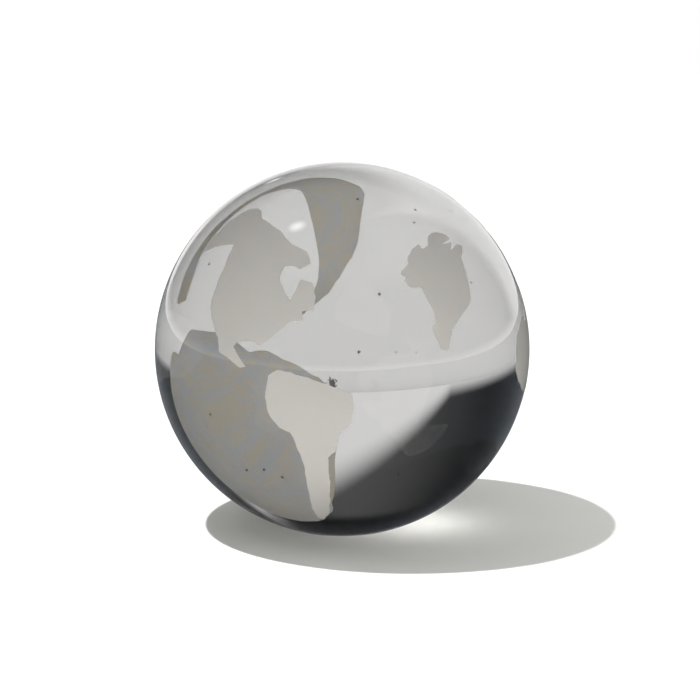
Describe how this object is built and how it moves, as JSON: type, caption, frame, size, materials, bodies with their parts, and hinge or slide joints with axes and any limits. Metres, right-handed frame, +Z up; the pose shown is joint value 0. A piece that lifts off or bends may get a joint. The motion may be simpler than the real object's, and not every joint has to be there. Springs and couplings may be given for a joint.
{
  "type": "glass globe paperweight",
  "caption": "Solid clear glass globe with the world's lands frosted into its surface and a ground flat base, used as a desk paperweight.",
  "frame": {"origin": "middle of the ground flat underneath the ball, on the surface that it stands on", "axes": "+Z up through the ball's centre, square to the ground flat; -Y towards the side that shows the Americas; the map's north pole leans 4 degrees from +Z towards -Y"},
  "size_m": [0.08, 0.08, 0.0782],
  "materials": {
    "clear_glass": "polished, clear",
    "frosted_glass": "sand-blasted, matt"
  },
  "bodies": {
    "root": {"glass_ball": "clear_glass", "north_america": "frosted_glass", "south_america": "frosted_glass", "greenland": "frosted_glass", "africa": "frosted_glass", "eurasia": "frosted_glass", "australia": "frosted_glass", "madagascar": "frosted_glass", "japan": "frosted_glass", "new_zealand": "frosted_glass"}
  },
  "joints": []
}
